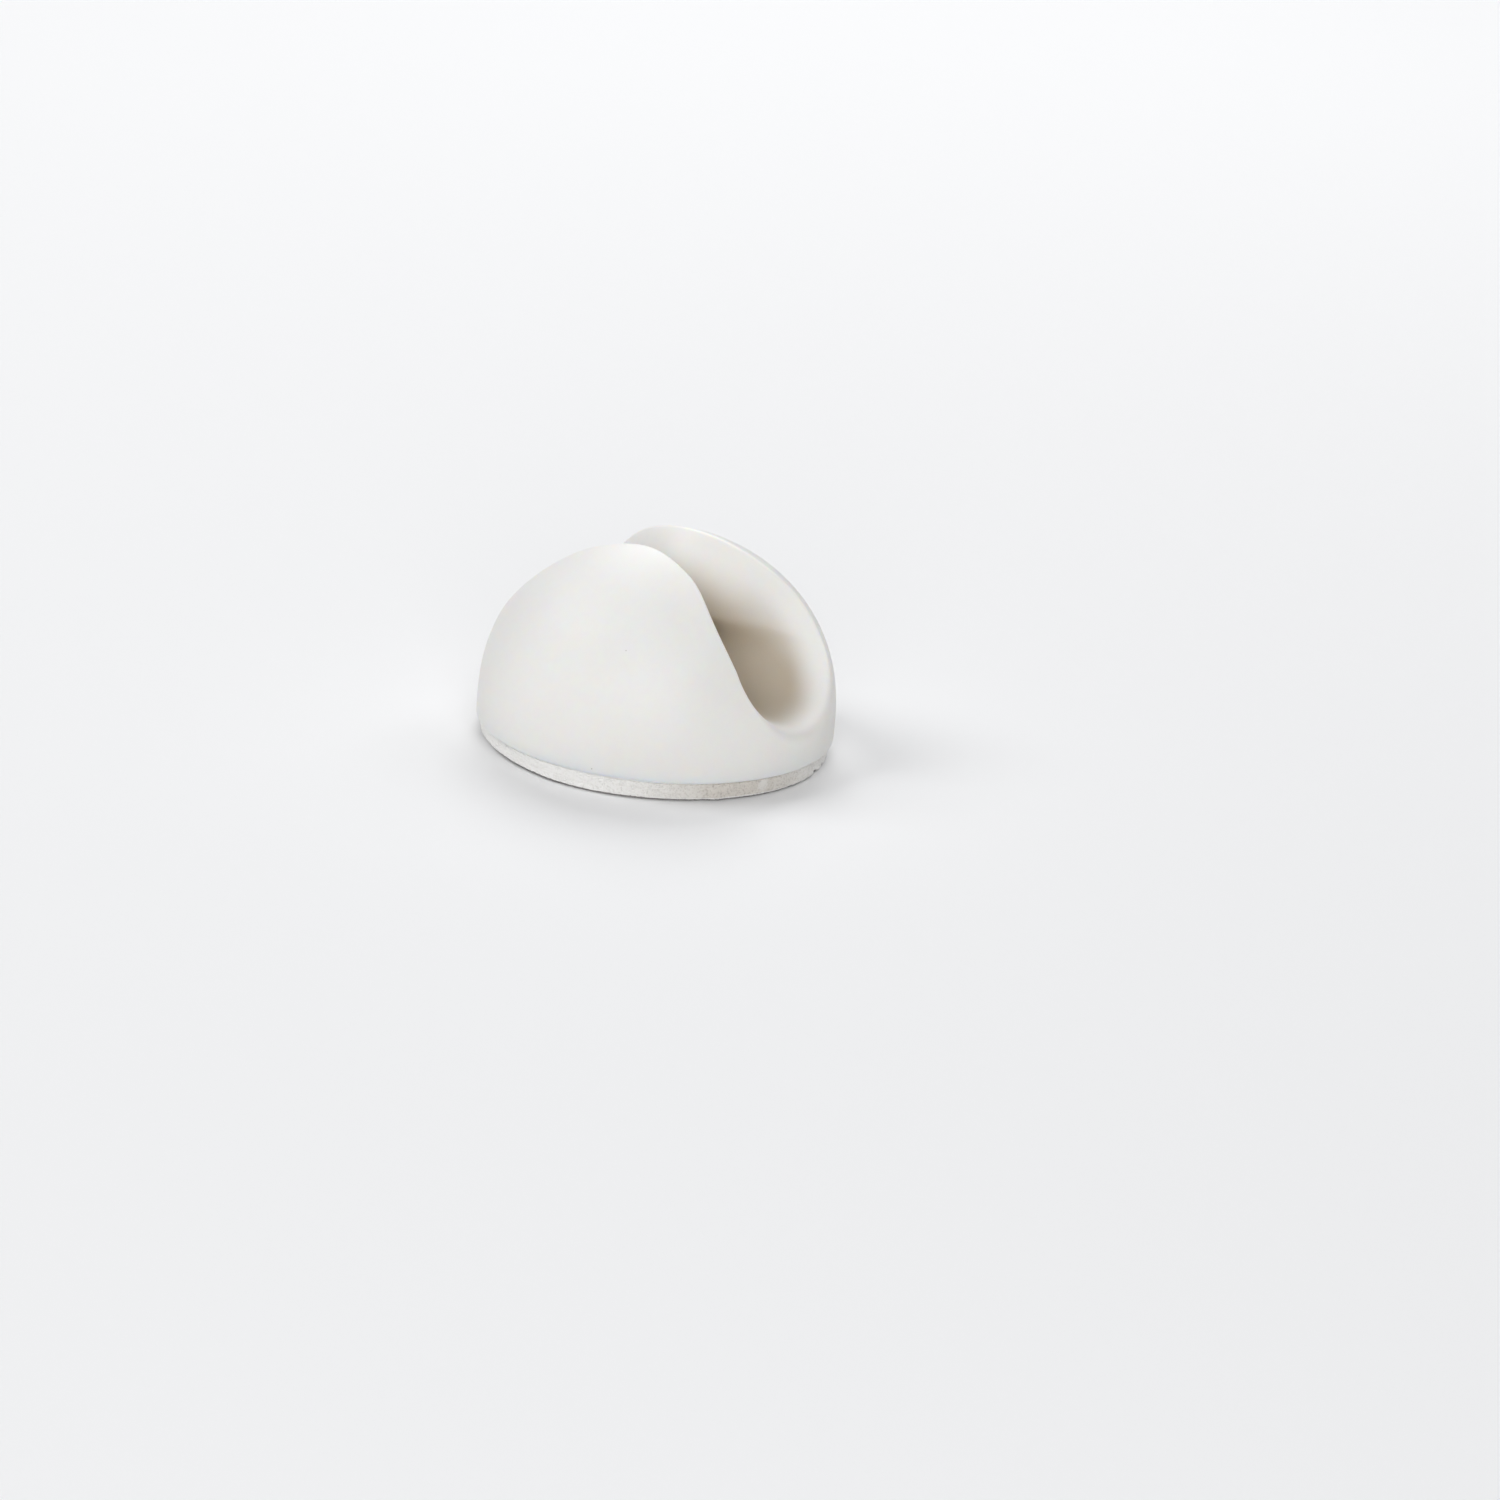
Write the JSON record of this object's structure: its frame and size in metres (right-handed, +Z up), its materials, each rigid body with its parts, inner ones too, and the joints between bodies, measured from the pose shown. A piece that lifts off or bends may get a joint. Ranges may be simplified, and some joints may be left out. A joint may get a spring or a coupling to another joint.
{
  "type": "adhesive cable clip",
  "caption": "Soft rubber dome with a cable channel right through it, open at the top between pinching lobes and flared at its mouths, on a round adhesive foam pad.",
  "frame": {"origin": "centre of the pad's lower face, where it sticks to the table", "axes": "+Z up from the table, +X along the cable channel, towards the mouth that faces the viewer in the picture, +Y towards the lobe that is the far one there"},
  "size_m": [0.021, 0.021, 0.0125],
  "materials": {
    "clip_body": "matt off-white thermoplastic rubber",
    "adhesive_pad": "matt pale foam with a cut edge and sticky faces"
  },
  "bodies": {
    "root": {"clip_body": "clip_body", "adhesive_pad": "adhesive_pad"}
  },
  "joints": []
}
